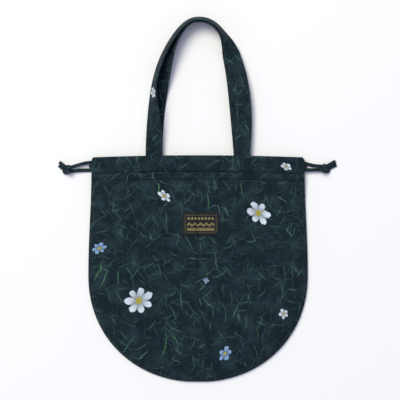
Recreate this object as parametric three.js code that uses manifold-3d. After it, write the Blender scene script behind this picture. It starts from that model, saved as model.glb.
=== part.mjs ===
// Kinchaku drawstring pouch of printed cotton, laid flat on its back.
// Two U-shaped panels are seamed along the sides and foot. The top of each panel is folded
// down and stitched into a hem, whose upper part is a casing for the drawcords. A handle
// is sewn inside each hem, and each drawcord runs through both casings and is knotted
// at its own side. Millimetres, +Z up. +X is to the right of someone looking at the front panel,
// and +Y runs from the foot to the handles. The origin is on the resting surface, midway
// along the bag with its handles.
import * as THREE from 'three';
import { mergeVertices } from 'three/addons/utils/BufferGeometryUtils.js';
import Module from 'manifold-3d';

const wasm = await Module();
wasm.setup();
const { degToRad, lerp, smoothstep } = THREE.MathUtils;

// Bag outline
const BODY_WIDTH = 330;
const MOUTH_WIDTH = 319;
const BODY_HEIGHT = 340;
const BOWL_DEPTH = 160; // height of the rounded bottom
const BOWL_FULLNESS = 2.1; // 2 gives a plain ellipse, more gives squarer shoulders
const FOOT_FLAT = 32; // nearly straight stretch at the foot
const TOP_ARCH = 3; // the top edge stands this much higher at its middle

// Cloth and how it lies
const CLOTH = 0.8;
const FIT = 0.3; // gap between pieces that touch
const PUFF = 12; // rise of the front panel above its seam
const PUFF_SQUARENESS = 6; // more makes a flatter top with a tighter roll at the edge
const MOUTH_RUN = 45; // length over which the front panel settles to its hem
const MOUTH_SPARE = 1.4; // free height between the straps inside the mouth
const MOUTH_SQUARENESS = 4; // more keeps the mouth open nearer to its ends

// Hem
const CASING_DEPTH = 25.5; // top edge to the upper stitch line
const HEM_DEPTH = 37; // top edge to the lower stitch line
const HEM_CLOSING = 4.5; // length over which the hem's layers come together
const HEM_LAP = 2; // how far the panel runs into the hem's lower stitches
const HEM_SINK = 0.5; // shares of a cloth's thickness that the panel lies below the hem's face

// Drawcords, a flat tape folded from the bag's own cloth
const CORD_WIDTH = 5.2;
const CORD_THICKNESS = 2;
const CORD_EDGE = 0.7; // how far the tape's edges are rounded off
const KNOT_LENGTH = 12.4;
const KNOT_WIDTH = 12.6;
const KNOT_HEIGHT = 10;
const KNOT_TURN_ANGLE = 24; // slant of the knot's two turns, in degrees
const KNOT_TURN_RADIUS = 2.5; // half the bulk of the cord in a turn
const KNOT_TURN_OFFSET = 1.9; // each turn's middle from the knot's middle
const KNOT_CORE_SHARE = 0.8; // the core's width and height, as a share of the knot's

// Handles
const STRAP_WIDTH = 25;
const STRAP_THICKNESS = 2;
const STRAP_CHAMFER = 0.6;
const STRAP_SPREAD = 132; // between the middles of a handle's two ends
const STRAP_TAIL = 24; // length sewn inside the mouth
const HANDLE_RISE = 209; // top edge to the outermost point of the handles
const HANDLE_TWIST = 73; // lean of the straps at the top of the loop, in degrees
// Each side of the loop: how its legs are bowed, 2 being an ellipse, how far they sway outwards, how high
// they arch off the ground, and the shares of the rise over which they lean. On the right the front
// handle sways outwards and the back one inwards, so the back one shows inside the loop.
const LEFT_LEG = { frontBow: 2, backBow: 2, frontSway: 0, backSway: 0, arch: 0, leanFrom: 0.2, leanTo: 1 };
const RIGHT_LEG = {
  frontBow: 2.4,
  backBow: 2.4,
  frontSway: 3.8,
  backSway: -4,
  arch: 8,
  leanFrom: 0.68,
  leanTo: 0.93,
};
const SWAY_END = 0.8; // share of the rise at which sway and arch are over
const LEG_DROP_RUN = 60; // length over which the legs come down from the mouth

// Label
const LABEL_WIDTH = 55;
const LABEL_HEIGHT = 34.5;
const LABEL_THICKNESS = 0.8;
const LABEL_CORNER = 4;
const LABEL_X = 4;
const LABEL_DROP = 102.5; // top edge of the bag to the label's middle

// Fineness of the surfaces
const PANEL_COLUMNS = 20;
const LABEL_COLUMNS = 6;
const BOWL_ROWS = 12;
const SIDE_ROWS = 10;
const HEM_STEPS = 24;
const FOLD_STEPS = 4;
const HANDLE_STEPS = 56;
const STRAP_STRIPS = 4;
const TAIL_STEPS = 3;
const CASING_POINTS = 10;
const CORD_STEPS_PER_POINT = 2;
const KNOT_SIDES = 8;
const KNOT_STEPS = 20;

// Places that follow from the sizes above
const FOOT_Y = -(BODY_HEIGHT + HANDLE_RISE) / 2;
const TOP_Y = FOOT_Y + BODY_HEIGHT;
const WIDE_Y = FOOT_Y + BOWL_DEPTH;
const HEM_Y = TOP_Y - HEM_DEPTH;
const CHANNEL_HEIGHT = CORD_THICKNESS + 2 * FIT;
const CASING_HEIGHT = CHANNEL_HEIGHT + 2 * CLOTH;
const MOUTH_GAP = 2 * (STRAP_THICKNESS + FIT) + MOUTH_SPARE;
const STRAP_PITCH = STRAP_THICKNESS + 2 * FIT;
const BOWL_CURVE = BOWL_DEPTH / (1 - (FOOT_FLAT / BODY_WIDTH) ** BOWL_FULLNESS) ** (1 / BOWL_FULLNESS);

// Each drawcord runs from its knot into the front casing, folds over at the far end, and comes back
// through the back casing to its knot again. The cords lie side by side in each casing. Places are
// measured outwards from the mouth's end on the cord's own side, up from the top edge, and in height
// from the casing's middle, or from the ground for the knot and the two loose ends.
const CORD_FOLD_DEPTH = 16.3; // top edge to the fold at the far end
const CORD_FOLD_REACH = 3.5; // how far the fold stands out of the casings
const CORD_FOLD_PROFILE = [[0.36, 0.92], [1, 0.5], [0.36, 0.08]]; // shares of its reach and height
const CASING_INSET = 2.5; // the straight run inside a casing stops this far from its ends
const LEFT_CORD = {
  side: -1,
  frontDepth: 10.8,
  backDepth: 21.8,
  frontWay: [[31, -17.9, -0.6], [22.5, -15.2, -0.9], [12.5, -12.3, -1], [4.5, -11, -0.5]],
  backWay: [[6.5, -22, 0], [18.5, -22.5, 0.6], [31, -23.4, 1.5]],
  knot: [37.2, -20.5, 5.2],
  tails: [
    [[38.5, -18.5, 5.6], [42.5, -15.1, 5.2], [48.9, -10.1, 2.4]],
    [[39.5, -21.5, 4.2], [44.5, -18.9, 2.6], [49.7, -14.9, 1.4]],
  ],
};
const RIGHT_CORD = {
  side: 1,
  frontDepth: 21.8,
  backDepth: 10.8,
  frontWay: [[25.5, -21.7, -1], [17.5, -21.7, -1.3], [10.5, -21.8, -1.2], [4.1, -21.8, -0.5]],
  backWay: [[5.5, -11.6, 0], [15.5, -14.1, 0.4], [25.5, -15.9, 1.3]],
  knot: [32, -18.9, 5.2],
  tails: [
    [[33.5, -16.9, 5.6], [39.5, -13.1, 4.6], [47.1, -8.9, 2.2]],
    [[34.5, -19.9, 4.2], [40.5, -17.5, 2.6], [48.5, -14.1, 1.4]],
  ],
};

// Closed mesh work

// Turns a closed geometry's faces outwards, if they point inwards.
function facingOut(geometry) {
  const position = geometry.getAttribute('position');
  const index = geometry.index.array;
  const a = new THREE.Vector3();
  const b = new THREE.Vector3();
  const c = new THREE.Vector3();
  let volume = 0;
  for (let i = 0; i < index.length; i += 3) {
    a.fromBufferAttribute(position, index[i]);
    b.fromBufferAttribute(position, index[i + 1]);
    c.fromBufferAttribute(position, index[i + 2]);
    volume += a.dot(b.cross(c));
  }
  if (volume < 0) {
    index.reverse();
  }
  return geometry;
}

function closedGeometry(points, faces) {
  const geometry = new THREE.BufferGeometry();
  geometry.setAttribute('position', new THREE.Float32BufferAttribute(points.flat(), 3));
  geometry.setIndex(faces.flat());
  return facingOut(geometry);
}

// A sheet between two height fields. Each row runs across at one y, out to its half width.
function sheet(rows, columns, middleX, halfWidthAt, lowAt, highAt) {
  const points = [];
  const faces = [];
  const count = columns + 1;
  for (const heightAt of [lowAt, highAt]) {
    for (const y of rows) {
      for (let i = 0; i < count; i++) {
        // Columns stand closer together near the edges, where the cloth rolls over.
        const x = middleX + halfWidthAt(y) * Math.sin((Math.PI / 2) * ((2 * i) / columns - 1));
        points.push([x, y, heightAt(x, y)]);
      }
    }
  }
  const layer = rows.length * count;
  const quad = (a, b, c, d) => faces.push([a, b, c], [a, c, d]);
  for (let j = 0; j + 1 < rows.length; j++) {
    for (let i = 0; i + 1 < count; i++) {
      const at = j * count + i;
      quad(at, at + count, at + count + 1, at + 1);
      quad(layer + at, layer + at + 1, layer + at + count + 1, layer + at + count);
    }
  }
  const rim = [];
  for (let i = 0; i < count; i++) {
    rim.push(i);
  }
  for (let j = 1; j < rows.length; j++) {
    rim.push(j * count + count - 1);
  }
  for (let i = count - 2; i >= 0; i--) {
    rim.push((rows.length - 1) * count + i);
  }
  for (let j = rows.length - 2; j > 0; j--) {
    rim.push(j * count);
  }
  rim.forEach((at, k) => {
    const next = rim[(k + 1) % rim.length];
    quad(at, next, layer + next, layer + at);
  });
  return closedGeometry(points, faces);
}

// A solid through rings of equal point count, capped at both ends by the rings' flat profile.
function loft(rings, profile) {
  const count = profile.length;
  const faces = [];
  for (let j = 0; j + 1 < rings.length; j++) {
    for (let i = 0; i < count; i++) {
      const next = (i + 1) % count;
      const a = j * count + i;
      const b = j * count + next;
      faces.push([a, b, b + count], [a, b + count, a + count]);
    }
  }
  const outline = profile.map(([u, v]) => new THREE.Vector2(u, v));
  const last = (rings.length - 1) * count;
  for (const [a, b, c] of THREE.ShapeUtils.triangulateShape(outline, [])) {
    const turned = THREE.ShapeUtils.isClockWise(outline) ? [a, b, c] : [a, c, b];
    faces.push(turned);
    faces.push([...turned].reverse().map((k) => last + k));
  }
  return closedGeometry(rings.flat(), faces);
}

function solid(geometry) {
  const bare = new THREE.BufferGeometry();
  bare.setAttribute('position', geometry.getAttribute('position'));
  bare.setIndex(geometry.index);
  const merged = mergeVertices(bare);
  return new wasm.Manifold(
    new wasm.Mesh({
      numProp: 3,
      vertProperties: merged.getAttribute('position').array,
      triVerts: Uint32Array.from(merged.index.array),
    }),
  );
}

function surface(manifold) {
  const mesh = manifold.getMesh();
  const geometry = new THREE.BufferGeometry();
  geometry.setAttribute('position', new THREE.BufferAttribute(mesh.vertProperties, 3));
  geometry.setIndex(new THREE.BufferAttribute(mesh.triVerts, 1));
  return geometry;
}

// The bag's outline and the levels of its cloth

function halfWidth(y) {
  if (y >= WIDE_Y) {
    return lerp(BODY_WIDTH, MOUTH_WIDTH, smoothstep(y, WIDE_Y, TOP_Y)) / 2;
  }
  const down = ((WIDE_Y - y) / BOWL_CURVE) ** BOWL_FULLNESS;
  return (BODY_WIDTH / 2) * (1 - down) ** (1 / BOWL_FULLNESS);
}

// 0 on the bag's middle line and 1 on its outline.
function reach(x, y) {
  const across = Math.abs(x) / (y >= WIDE_Y ? halfWidth(y) : BODY_WIDTH / 2);
  const down = Math.max(0, (WIDE_Y - y) / BOWL_CURVE);
  return Math.min(1, (across ** BOWL_FULLNESS + down ** BOWL_FULLNESS) ** (1 / BOWL_FULLNESS));
}

function topEdge(x) {
  return TOP_Y - TOP_ARCH * ((2 * x) / MOUTH_WIDTH) ** 2;
}

// Underside of the front casing: the mouth stands open in the middle and closes at its ends.
function frontCasingBase(x) {
  const openness = 1 - Math.abs((2 * x) / MOUTH_WIDTH) ** MOUTH_SQUARENESS;
  return CASING_HEIGHT + FIT + MOUTH_GAP * openness;
}

function frontUnderside(x, y) {
  const pillow = CLOTH + FIT + PUFF * (1 - reach(x, y) ** PUFF_SQUARENESS);
  const atHem = frontCasingBase(x) + CASING_HEIGHT - (1 + HEM_SINK) * CLOTH;
  return lerp(pillow, atHem, smoothstep(y, HEM_Y - MOUTH_RUN, HEM_Y));
}

const frontOutside = (x, y) => frontUnderside(x, y) + CLOTH;

function panelRows() {
  const rows = [];
  for (let k = 0; k <= BOWL_ROWS; k++) {
    rows.push(WIDE_Y - BOWL_DEPTH * Math.cos((Math.PI / 2) * (k / BOWL_ROWS)));
  }
  for (let k = 1; k <= SIDE_ROWS; k++) {
    rows.push(lerp(WIDE_Y, HEM_Y + HEM_LAP, k / SIDE_ROWS));
  }
  return rows;
}

// Hem and casing: profiles run along the hem's depth (u, 0 at the top edge) and its height (v)

function arcPoints(centreU, centreV, radius, fromDeg, toDeg) {
  const points = [];
  for (let k = 0; k <= FOLD_STEPS; k++) {
    const angle = degToRad(lerp(fromDeg, toDeg, k / FOLD_STEPS));
    points.push([centreU + radius * Math.cos(angle), centreV + radius * Math.sin(angle)]);
  }
  return points;
}

function hemProfile() {
  const round = CASING_HEIGHT / 2;
  const layersMeet = CASING_HEIGHT - 2 * CLOTH;
  return [
    ...arcPoints(-round, round, round, 90, -90),
    [-CASING_DEPTH, 0],
    [-CASING_DEPTH - HEM_CLOSING, layersMeet],
    [-HEM_DEPTH, layersMeet],
    [-HEM_DEPTH, CASING_HEIGHT],
  ];
}

function channelProfile() {
  const round = CHANNEL_HEIGHT / 2;
  const middle = CASING_HEIGHT / 2;
  return [
    ...arcPoints(-CLOTH - round, middle, round, 90, -90),
    ...arcPoints(-CASING_DEPTH + CLOTH + round, middle, round, 270, 90),
  ];
}

// A hem profile carried across the mouth. The back hem is turned over, with its outer layer below.
function hemSolid(profile, overrun, isFront) {
  const reachX = MOUTH_WIDTH / 2 + overrun;
  const rings = [];
  for (let k = 0; k <= HEM_STEPS; k++) {
    const x = lerp(-reachX, reachX, k / HEM_STEPS);
    const ring = profile.map(([u, v]) => {
      const z = isFront ? frontCasingBase(x) + v : CASING_HEIGHT - v;
      return [x, topEdge(x) + u, z];
    });
    rings.push(ring);
  }
  return solid(loft(rings, profile));
}

function panel(isFront) {
  const low = isFront ? frontUnderside : () => 0;
  const high = isFront ? frontOutside : () => CLOTH;
  const body = solid(sheet(panelRows(), PANEL_COLUMNS, 0, halfWidth, low, high));
  const channelOverrun = CORD_WIDTH;
  const hem = hemSolid(hemProfile(), 0, isFront);
  const channel = hemSolid(channelProfile(), channelOverrun, isFront);
  return surface(body.add(hem.subtract(channel)));
}

// Handles

// Where a handle's loop runs: two bowed legs on straight ends, given by the way along it.
function loopStations(isFront) {
  const twist = degToRad(HANDLE_TWIST);
  const strapReach = (STRAP_WIDTH / 2) * Math.cos(twist) + (STRAP_THICKNESS / 2) * Math.sin(twist);
  const rise = HANDLE_RISE - strapReach - STRAP_PITCH * Math.sin(twist);
  const spread = STRAP_SPREAD / 2;
  const stations = [];
  const addTail = (side, k) => {
    const y = TOP_Y - (STRAP_TAIL * k) / TAIL_STEPS;
    stations.push({ x: side * spread, y, outward: [side, 0], lean: 0, arch: 0 });
  };
  for (let k = TAIL_STEPS; k > 0; k--) {
    addTail(-1, k);
  }
  for (let k = 0; k <= HANDLE_STEPS; k++) {
    const angle = Math.PI * (1 - k / HANDLE_STEPS);
    const side = 2 * k < HANDLE_STEPS ? -1 : 1;
    const leg = side < 0 ? LEFT_LEG : RIGHT_LEG;
    const bow = isFront ? leg.frontBow : leg.backBow;
    const across = Math.abs(Math.cos(angle)) ** (2 / bow);
    const up = Math.max(0, Math.sin(angle)) ** (2 / bow);
    const normal = new THREE.Vector2(side * rise * across ** (bow - 1), spread * up ** (bow - 1));
    normal.normalize();
    const swing = Math.sin(Math.PI * Math.min(1, up / SWAY_END));
    const sway = isFront ? leg.frontSway : leg.backSway;
    stations.push({
      x: side * (spread * across + sway * swing),
      y: TOP_Y + rise * up,
      outward: [normal.x, normal.y],
      lean: twist * smoothstep(up, leg.leanFrom, leg.leanTo),
      arch: leg.arch * swing,
    });
  }
  for (let k = 1; k <= TAIL_STEPS; k++) {
    addTail(1, k);
  }
  return stations;
}

// Each strap lies flat at its ends and leans over as it rises, with its outer edge on the ground.
// The front handle lies on the back one, and its ends are held higher, under the front hem.
function handle(isFront) {
  const halfWide = STRAP_WIDTH / 2;
  const halfThick = STRAP_THICKNESS / 2;
  const profile = [];
  for (const side of [1, -1]) {
    for (let k = 0; k <= STRAP_STRIPS; k++) {
      const across = (halfWide - STRAP_CHAMFER) * (1 - (2 * k) / STRAP_STRIPS);
      profile.push([side * across, side * halfThick]);
    }
    profile.push([-side * halfWide, side * (halfThick - STRAP_CHAMFER)]);
    profile.push([-side * halfWide, -side * (halfThick - STRAP_CHAMFER)]);
  }
  const pitch = isFront ? STRAP_PITCH : 0;
  const restLevel = halfThick + pitch;
  const underHem = frontCasingBase(STRAP_SPREAD / 2 + halfWide) - FIT - halfThick;
  const mouthLevel = isFront ? underHem : CASING_HEIGHT + FIT + halfThick;
  const rings = loopStations(isFront).map(({ x, y, outward, lean, arch }) => {
    const sin = Math.sin(lean);
    const cos = Math.cos(lean);
    const held = (mouthLevel - restLevel) * (1 - smoothstep(y, TOP_Y, TOP_Y + LEG_DROP_RUN));
    const middle = [
      x + outward[0] * sin * pitch,
      y + outward[1] * sin * pitch,
      halfWide * sin + halfThick * cos + pitch * cos + held + arch,
    ];
    return profile.map(([wide, thick]) => {
      const sideways = wide * cos + thick * sin;
      const up = thick * cos - wide * sin;
      return [middle[0] + outward[0] * sideways, middle[1] + outward[1] * sideways, middle[2] + up];
    });
  });
  return loft(rings, profile);
}

// Drawcords and knots

// A route whose steps are shared out evenly between its points, so that close points at
// a tight bend give short steps there. The tape's width is kept as near to Y as the route allows.
class CordRoute extends THREE.CatmullRomCurve3 {
  getPointAt(share, target) {
    return this.getPoint(share, target);
  }

  computeFrenetFrames(steps) {
    const frames = { tangents: [], normals: [], binormals: [] };
    for (let k = 0; k <= steps; k++) {
      const along = this.getTangent(k / steps);
      const wide = new THREE.Vector3(0, 1, 0).addScaledVector(along, -along.y).normalize();
      frames.tangents.push(along);
      frames.normals.push(new THREE.Vector3().crossVectors(wide, along));
      frames.binormals.push(wide);
    }
    return frames;
  }
}

function tape(points) {
  const halfThick = CORD_THICKNESS / 2;
  const halfWide = CORD_WIDTH / 2;
  const section = new THREE.Shape([
    new THREE.Vector2(halfThick, halfWide - CORD_EDGE),
    new THREE.Vector2(halfThick - CORD_EDGE, halfWide),
    new THREE.Vector2(-halfThick + CORD_EDGE, halfWide),
    new THREE.Vector2(-halfThick, halfWide - CORD_EDGE),
    new THREE.Vector2(-halfThick, -halfWide + CORD_EDGE),
    new THREE.Vector2(-halfThick + CORD_EDGE, -halfWide),
    new THREE.Vector2(halfThick - CORD_EDGE, -halfWide),
    new THREE.Vector2(halfThick, -halfWide + CORD_EDGE),
  ]);
  return new THREE.ExtrudeGeometry(section, {
    steps: (points.length - 1) * CORD_STEPS_PER_POINT,
    bevelEnabled: false,
    extrudePath: new CordRoute(points.map((point) => new THREE.Vector3(...point))),
  });
}

// Points along a cord, from its knot round through both casings, from the top edge's middle.
function cordRoute({ side, frontDepth, backDepth, frontWay, backWay }) {
  const mouthEnd = MOUTH_WIDTH / 2;
  const frontLevel = (x) => frontCasingBase(x) + CASING_HEIGHT / 2;
  const backLevel = () => CASING_HEIGHT / 2;
  const outside = (way, level) => way.map(([out, y, up]) => [side * (mouthEnd + out), y, level + up]);
  const inside = (fromSide, fromDepth, toDepth, levelAt) => {
    const points = [];
    for (let k = 0; k <= CASING_POINTS; k++) {
      const across = Math.cos((Math.PI * k) / CASING_POINTS);
      const x = fromSide * (mouthEnd - CASING_INSET) * across;
      points.push([x, -lerp(fromDepth, toDepth, (1 - across) / 2), levelAt(x)]);
    }
    return points;
  };
  const high = frontLevel(mouthEnd);
  const low = backLevel();
  const fold = CORD_FOLD_PROFILE.map(([out, height]) => {
    const x = -side * (mouthEnd + CORD_FOLD_REACH * out);
    return [x, -CORD_FOLD_DEPTH, lerp(low, high, height)];
  });
  return [
    ...outside(frontWay, high),
    ...inside(side, frontDepth, CORD_FOLD_DEPTH, frontLevel),
    ...fold,
    ...inside(-side, CORD_FOLD_DEPTH, backDepth, backLevel),
    ...outside(backWay, low),
  ];
}

// An overhand knot drawn tight: a core with two slanting turns round it, and the cord's two ends.
function knot({ side, knot: middle, tails }) {
  const standing = ([out, y, z]) => [side * (MOUTH_WIDTH / 2 + out), y, z];
  const across = KNOT_WIDTH - 2 * KNOT_TURN_RADIUS;
  const turns = [-1, 1].map((side) => {
    const turn = new THREE.TorusGeometry(0.5, KNOT_TURN_RADIUS / across, KNOT_SIDES, KNOT_STEPS);
    turn.scale(across * (KNOT_HEIGHT / KNOT_WIDTH), across, across);
    turn.rotateY(Math.PI / 2);
    turn.rotateZ(degToRad(side * KNOT_TURN_ANGLE));
    turn.translate(side * KNOT_TURN_OFFSET, 0, 0);
    return turn;
  });
  const core = new THREE.SphereGeometry(0.5, KNOT_STEPS, KNOT_SIDES);
  core.scale(KNOT_LENGTH, KNOT_WIDTH * KNOT_CORE_SHARE, KNOT_HEIGHT * KNOT_CORE_SHARE);
  let whole = solid(core);
  for (const turn of turns) {
    whole = whole.add(solid(turn));
  }
  whole = whole.translate(standing(middle));
  for (const tail of tails) {
    whole = whole.add(solid(tape(tail.map(standing))));
  }
  return surface(whole);
}

// Label

function label() {
  const middleY = TOP_Y - LABEL_DROP;
  const halfHigh = LABEL_HEIGHT / 2;
  const rows = [];
  for (const side of [-1, 1]) {
    const corner = arcPoints(0, halfHigh - LABEL_CORNER, LABEL_CORNER, 0, 90).map(([, v]) => side * v);
    rows.push(...(side < 0 ? corner.reverse() : corner));
  }
  const halfWidthAt = (y) => {
    const past = Math.max(0, Math.abs(y - middleY) - (halfHigh - LABEL_CORNER));
    return LABEL_WIDTH / 2 - LABEL_CORNER + Math.sqrt(Math.max(0, LABEL_CORNER ** 2 - past ** 2));
  };
  const under = (x, y) => frontOutside(x, y) + FIT;
  const over = (x, y) => under(x, y) + LABEL_THICKNESS;
  const places = rows.map((v) => middleY + v);
  return sheet(places, LABEL_COLUMNS, LABEL_X, halfWidthAt, under, over);
}

// The pouch
const printedCotton = { color: 0x2b3a40, roughness: 0.9, metalness: 0 };
const cordCotton = { color: 0x26343a, roughness: 0.9, metalness: 0 };
const labelCloth = { color: 0x22282a, roughness: 0.8, metalness: 0 };

const pouch = new THREE.Group();
const drawcords = new THREE.Group();
drawcords.position.y = TOP_Y;
pouch.add(drawcords);

function place(group, name, geometry, look) {
  const mesh = new THREE.Mesh(geometry, new THREE.MeshStandardMaterial(look));
  mesh.name = name;
  group.add(mesh);
}

place(pouch, 'back_panel', panel(false), printedCotton);
place(pouch, 'front_panel', panel(true), printedCotton);
place(pouch, 'back_handle', handle(false), printedCotton);
place(pouch, 'front_handle', handle(true), printedCotton);
place(drawcords, 'left_drawcord', tape(cordRoute(LEFT_CORD)), cordCotton);
place(drawcords, 'left_knot', knot(LEFT_CORD), cordCotton);
place(drawcords, 'right_drawcord', tape(cordRoute(RIGHT_CORD)), cordCotton);
place(drawcords, 'right_knot', knot(RIGHT_CORD), cordCotton);
place(pouch, 'label', label(), labelCloth);

export default pouch;
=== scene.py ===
"""Kinchaku drawstring pouch of printed cotton, laid flat on its back.

Each operator sews or ties one piece. Sizes are in metres, +X to the right of someone looking at
the front, +Y from the foot to the handles, +Z up out of the front.
"""

import math

import bpy
import numpy as np
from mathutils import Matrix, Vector
from mathutils.bvhtree import BVHTree


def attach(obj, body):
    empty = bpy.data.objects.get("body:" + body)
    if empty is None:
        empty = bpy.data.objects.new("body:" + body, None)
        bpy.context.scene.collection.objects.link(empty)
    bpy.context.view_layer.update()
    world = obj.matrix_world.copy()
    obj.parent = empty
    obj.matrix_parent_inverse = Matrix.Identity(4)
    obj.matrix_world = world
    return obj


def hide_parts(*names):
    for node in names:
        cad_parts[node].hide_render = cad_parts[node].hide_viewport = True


bl_info = {
    "name": "Kinchaku Drawstring Pouch",
    "version": (1, 0, 0),
    "blender": (4, 5, 0),
    "location": "View3D > Sidebar > Pouch",
    "description": "Sews a drawstring pouch of printed cotton, laid flat on its back",
    "category": "Add Mesh",
}

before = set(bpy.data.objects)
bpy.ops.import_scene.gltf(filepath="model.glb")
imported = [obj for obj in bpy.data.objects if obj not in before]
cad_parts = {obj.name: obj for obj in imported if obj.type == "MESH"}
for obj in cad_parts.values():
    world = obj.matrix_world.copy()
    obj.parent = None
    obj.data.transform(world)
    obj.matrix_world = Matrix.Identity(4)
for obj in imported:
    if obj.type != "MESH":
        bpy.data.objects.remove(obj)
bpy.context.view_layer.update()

# Bag outline
BODY_WIDTH = 0.330
MOUTH_WIDTH = 0.319
BODY_HEIGHT = 0.340
BOWL_DEPTH = 0.160
BOWL_FULLNESS = 2.1
FOOT_FLAT = 0.032
TOP_ARCH = 0.003
HANDLE_RISE = 0.209
FOOT_Y = -(BODY_HEIGHT + HANDLE_RISE) / 2
TOP_Y = FOOT_Y + BODY_HEIGHT
WIDE_Y = FOOT_Y + BOWL_DEPTH
BOWL_CURVE = BOWL_DEPTH / (1 - (FOOT_FLAT / BODY_WIDTH) ** BOWL_FULLNESS) ** (1 / BOWL_FULLNESS)

# Cloth as it lies
CLOTH = 0.0008
SEAM_LEVEL = 0.0019
SEAM_GAP = 0.0001
EDGE_ROLL = 0.0024
PUFF = 0.012
PUFF_SQUARENESS = 9
MOUTH_RUN = 0.045
CASING_DEPTH = 0.0255
HEM_DEPTH = 0.037
CASING_HEIGHT = 0.0042
HEM_STEP = 0.0009
HEM_DIP = 0.0017
CASING_FULLNESS = 0.0010
CORNER_EASE = 0.014
HEM_Y = TOP_Y - HEM_DEPTH
MOUTH_GAP = 0.006
FIT = 0.0003
BACK_FLAT_RUN = 0.03

# Hem: where its face steps down to the casing's seam, how wide a seam draws it in, where the turned-in
# layer starts to rise, and how the hem runs out at its corners and into the body
STEP_BEFORE = 0.0035
STEP_AFTER = 0.0005
DIP_WIDTH = 0.0014
INNER_RISE = 0.001
CORNER_RUN = 0.006
ARCH_RUN = 0.12
JOIN_RUN = 0.006
FACE_LEVEL = 0.003

# Waves of the front, the swell under its hem and the puckers along its seams: sizes and how far they reach
BROAD_WAVE = 0.085
FINE_WAVE = 0.034
WAVE_START = 0.004
WAVE_FULL = 0.04
WAVE_STOP = 0.05
SWELL = 0.0007
SWELL_RISE = 0.003
SWELL_END = 0.035
SEAM_PITCH = 0.0085
SEAM_START = 0.0025
SEAM_REACH = 0.011
TUG_PITCH = 0.0125
TUG_REACH = 0.014
GATHER_PITCH = 0.017

# Drawcords, their knots and loose ends
CORD_WIDTH = 0.0052
CORD_THICKNESS = 0.002
CORD_FOLD_DEPTH = 0.0163
CORD_ENTRY = 0.0025
CORD_STEP = 0.0015
KNOT_SPAN = 2.06
KNOT_LENGTH = 0.00180
KNOT_WIDTH = 0.00170
KNOT_HEIGHT = 0.00024
KNOT_LIFT = 0.0024
KNOT_HALF_WIDE = 0.0036
KNOT_HALF_THICK = 0.0026
TAIL_THICKNESS = 0.0016
TAIL_STEP = 0.0006

# Handles
STRAP_WIDTH = 0.025
STRAP_THICKNESS = 0.002
STRAP_SPREAD = 0.132
STRAP_TAIL = 0.024
STRAP_PITCH = 0.0026
STRAP_EDGE = 0.0011
STRAP_SEAM = 0.0022
STRAP_SEAM_WIDTH = 0.0007
STRAP_SEAM_DIP = 0.3
STITCH_LEVEL = 0.72
HANDLE_TWIST = math.radians(73)
# The left (-1) and right (1) side of a loop, how it is bowed, 2 being an ellipse
LOOP_BOW = {-1: 2.0, 1: 2.4}
# Each leg: how far it sways outwards, how high it arches off the ground, how far it tilts, and between
# which shares of the rise it turns on edge
LEGS = {
    ("front", -1): {"sway": 0.0, "arch": 0.0, "tilt": 0.0, "turns": (0.0, 0.55)},
    ("back", -1): {"sway": 0.0, "arch": 0.0, "tilt": 0.0, "turns": (0.35, 1.0)},
    ("front", 1): {"sway": 0.0038, "arch": 0.008, "tilt": 0.0, "turns": (0.68, 0.93)},
    ("back", 1): {"sway": -0.0040, "arch": 0.0, "tilt": math.radians(30), "turns": (0.68, 0.93)},
}
SWAY_END = 0.8
LEG_DROP_RUN = 0.060

# Label
LABEL_WIDTH = 0.055
LABEL_HEIGHT = 0.0345
LABEL_THICKNESS = 0.0008
LABEL_CORNER = 0.004
LABEL_X = 0.004
LABEL_Y = TOP_Y - 0.1025
LABEL_SEAM = 0.0014

# Seams of the panels: the hem's lines, the slits at its ends and the line along the edge
HEM_SEAM_MARGIN = 0.006
SLIT_X = 0.1455
EDGE_SEAM = 0.0042

# How the front drapes: the cloth's ease, how long and how far it settles, and where it stays calm
DRAPE_EASE = 0.02
DRAPE_FRAMES = 24
DRAPE_LIMIT = 0.004
UNDER_DROP = 0.0012
LABEL_CALM = 0.15
LABEL_CALM_RUN = 0.018
SEAM_HOLD = 0.014

# Flat cloth: area of one panel, and where the back panel and the straps lie on the printed length
BACK_PANEL_U = 0.5
STRAP_U = {"back": 0.8, "front": 1.1}

# Panel, strap and label grids
COLUMNS = 140
EDGE_CROWDING = 0.82
BOWL_ROWS = 62
SIDE_ROWS = 62
BODY_ROWS = BOWL_ROWS + SIDE_ROWS - 1
HEM_ROWS = 44
FOLD_ROWS = 8
INNER_ROWS = 30
LOOP_STEPS = 220
TAIL_STEPS = 12
LABEL_ROWS = 24
LABEL_COLUMNS = 36

# Stage
FLOOR_SIZE = 8.0
FLOOR_DROP = 0.0004
FLOOR_TINT = (0.935, 0.94, 0.965)
ROOM_TINT = (0.70, 0.732, 1.0)
ROOM_STRENGTH = 0.509
CAMERA_PLACE = (0.003, -0.0015, 2.007)
CAMERA_SENSOR = 36.0
CAMERA_LENS = 120.0
CAMERA_REACH = 20.0


class PouchSizes(bpy.types.PropertyGroup):
    """How the cloth lies and how it is sewn"""

    billow: bpy.props.FloatProperty(
        name="Billow", description="Depth of the broad, soft waves of the front",
        default=0.0011, min=0.0, max=0.004, unit="LENGTH", subtype="DISTANCE")
    pucker: bpy.props.FloatProperty(
        name="Seam pucker", description="Depth of the small puckers along the seams",
        default=0.0007, min=0.0, max=0.002, unit="LENGTH", subtype="DISTANCE")
    stitch_length: bpy.props.FloatProperty(
        name="Stitch length", description="Length of one stitch on the right side",
        default=0.0024, min=0.001, max=0.006, unit="LENGTH", subtype="DISTANCE")
    stitch_pitch: bpy.props.FloatProperty(
        name="Stitch pitch", description="Distance from one stitch to the next",
        default=0.0030, min=0.0012, max=0.008, unit="LENGTH", subtype="DISTANCE")
    thread: bpy.props.FloatProperty(
        name="Thread", description="Thickness of the sewing thread",
        default=0.0006, min=0.0002, max=0.0012, unit="LENGTH", subtype="DISTANCE")


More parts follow.
